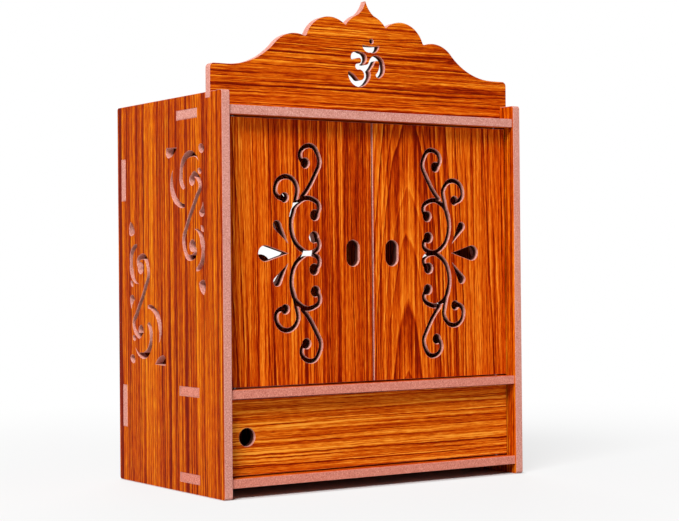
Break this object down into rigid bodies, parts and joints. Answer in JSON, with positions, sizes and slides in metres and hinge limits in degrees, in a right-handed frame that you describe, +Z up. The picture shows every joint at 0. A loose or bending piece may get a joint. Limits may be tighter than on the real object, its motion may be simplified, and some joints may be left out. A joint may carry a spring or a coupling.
{
  "type": "pooja mandir",
  "caption": "Small household shrine cabinet of slotted wood-effect boards, with a crowned header, a pair of fretted doors and a long low door for storage.",
  "frame": {"origin": "middle of the cabinet's footprint, on the ground", "axes": "+Z up, the doors and the header face -Y, +X to the right of someone who faces the doors"},
  "size_m": [0.315, 0.1924, 0.4254],
  "materials": {
    "laminate_upright_grain": "satin orange-brown wood-effect laminate, grain upright, raw board edges",
    "laminate_level_grain": "satin orange-brown wood-effect laminate, grain level, raw board edges",
    "laminate_shelf": "satin orange-brown wood-effect laminate on shelves with pinkish raw front edges",
    "pivot_pin": "plain steel pivot pins"
  },
  "bodies": {
    "cabinet": {"side_left": "laminate_upright_grain", "side_right": "laminate_upright_grain", "back_panel": "laminate_upright_grain", "top_shelf": "laminate_shelf", "middle_shelf": "laminate_shelf", "bottom_shelf": "laminate_shelf", "header": "laminate_level_grain"},
    "door_left": {"door_left": "laminate_upright_grain", "door_left_pin_low": "pivot_pin", "door_left_pin_high": "pivot_pin"},
    "door_right": {"door_right": "laminate_upright_grain", "door_right_pin_low": "pivot_pin", "door_right_pin_high": "pivot_pin"},
    "storage_door": {"storage_door": "laminate_level_grain", "storage_door_pin_low": "pivot_pin", "storage_door_pin_high": "pivot_pin"}
  },
  "joints": [
    {"name": "door_left_hinge", "type": "hinge", "parent": "cabinet", "child": "door_left", "pos_m": [-0.1388, -0.0805, 0.2042], "axis": [0, 0, -1], "range_deg": [0, 100]},
    {"name": "door_right_hinge", "type": "hinge", "parent": "cabinet", "child": "door_right", "pos_m": [0.1388, -0.0805, 0.2042], "axis": [0, 0, 1], "range_deg": [0, 100]},
    {"name": "storage_door_hinge", "type": "hinge", "parent": "cabinet", "child": "storage_door", "pos_m": [0.1388, -0.0805, 0.0495], "axis": [0, 0, 1], "range_deg": [0, 100]}
  ]
}
